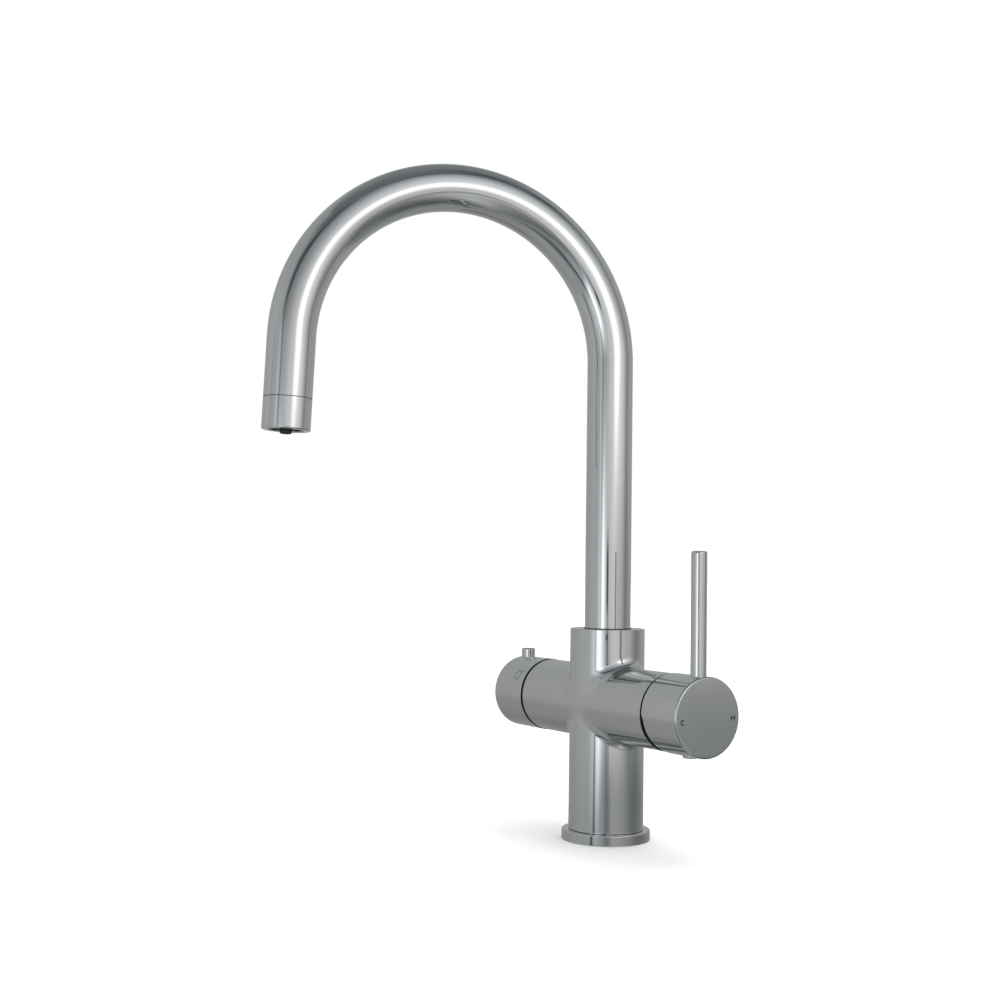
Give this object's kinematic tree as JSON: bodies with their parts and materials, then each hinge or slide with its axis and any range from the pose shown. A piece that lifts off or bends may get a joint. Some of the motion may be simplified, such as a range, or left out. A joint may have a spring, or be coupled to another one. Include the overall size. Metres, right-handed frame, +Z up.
{
  "type": "boiling water tap",
  "caption": "Three-in-one kitchen tap with a swivelling swan-neck spout, a mixer lever on one arm and a push-and-turn boiling water knob on the other.",
  "frame": {"origin": "centre of the base's underside, on the deck", "axes": "+Z up along the body's axis, +X out along the mixer arm, the user stands at -Y; the spout is stored turned 11.24 degrees from -Y towards -X, as in the picture"},
  "size_m": [0.1919, 0.2384, 0.4038],
  "materials": {
    "chrome": "polished chrome plate",
    "brass": "turned brass",
    "steel": "stainless steel",
    "rubber": "matte rubber",
    "black_plastic": "moulded, satin",
    "white_plastic": "moulded, satin",
    "ceramic": "lapped ceramic",
    "silicone": "translucent silicone"
  },
  "bodies": {
    "tap_body": {"tap_body": "chrome", "base_flange": "chrome", "base_seal": "rubber", "cold_inlet_union": "brass", "hot_inlet_union": "brass", "boiling_inlet_union": "brass", "spout_glide_ring": "black_plastic", "spout_stop_screw": "steel", "boiling_nipple": "brass", "mixer_base_seal": "rubber", "mixer_cartridge_housing": "white_plastic", "mixer_fixed_disc": "ceramic", "mixer_retaining_nut": "brass", "boiling_headwork": "brass", "boiling_fixed_disc": "ceramic", "boiling_retaining_nut": "brass"},
    "spout": {"spout_tube": "chrome", "boiling_hose": "silicone", "spout_base_insert": "brass", "spout_lower_oring": "rubber", "spout_upper_oring": "rubber", "nozzle_ring": "chrome", "aerator": "black_plastic", "boiling_outlet": "black_plastic"},
    "mixer_carrier": {"mixer_carrier": "white_plastic", "mixer_pivot_pin": "steel"},
    "mixer_disc": {"mixer_moving_disc": "ceramic"},
    "mixer_lever": {"mixer_lever_stem": "steel", "mixer_cap": "chrome", "mixer_rod": "chrome", "mixer_screw_plug": "chrome", "mixer_cap_screw": "steel"},
    "boiling_spindle": {"boiling_spindle": "brass", "boiling_spindle_oring": "rubber", "boiling_moving_disc": "ceramic", "boiling_return_spring": "steel"},
    "boiling_knob": {"boiling_knob": "chrome", "boiling_knob_pin": "chrome", "boiling_knob_screw": "steel"}
  },
  "joints": [
    {"name": "spout_swivel", "type": "hinge", "parent": "tap_body", "child": "spout", "pos_m": [0, 0, 0.109], "axis": [0, 0, 1], "range_deg": [-58.76, 81.24]},
    {"name": "mixer_temperature", "type": "hinge", "parent": "tap_body", "child": "mixer_carrier", "pos_m": [0.0475, 0, 0.08222], "axis": [1, 0, 0], "range_deg": [-45, 45]},
    {"name": "mixer_flow", "type": "hinge", "parent": "mixer_carrier", "child": "mixer_lever", "pos_m": [0.0475, 0, 0.08222], "axis": [0, 1, 0], "range_deg": [0, 20]},
    {"name": "mixer_disc_slide", "type": "slide", "parent": "mixer_carrier", "child": "mixer_disc", "axis": [0, 0, 1], "range_m": [0, 0.0025]},
    {"name": "boiling_turn", "type": "hinge", "parent": "tap_body", "child": "boiling_spindle", "pos_m": [-0.05, 0, 0.08222], "axis": [1, 0, 0], "range_deg": [0, 90]},
    {"name": "boiling_push", "type": "slide", "parent": "boiling_spindle", "child": "boiling_knob", "axis": [1, 0, 0], "range_m": [0, 0.0016], "stiffness_N_per_m": 3000, "springref_m": -0.001, "deforming": ["boiling_return_spring"]}
  ],
  "couplings": [
    {"joint": "mixer_disc_slide", "follows": "mixer_flow", "m_per_rad": 0.0066}
  ]
}
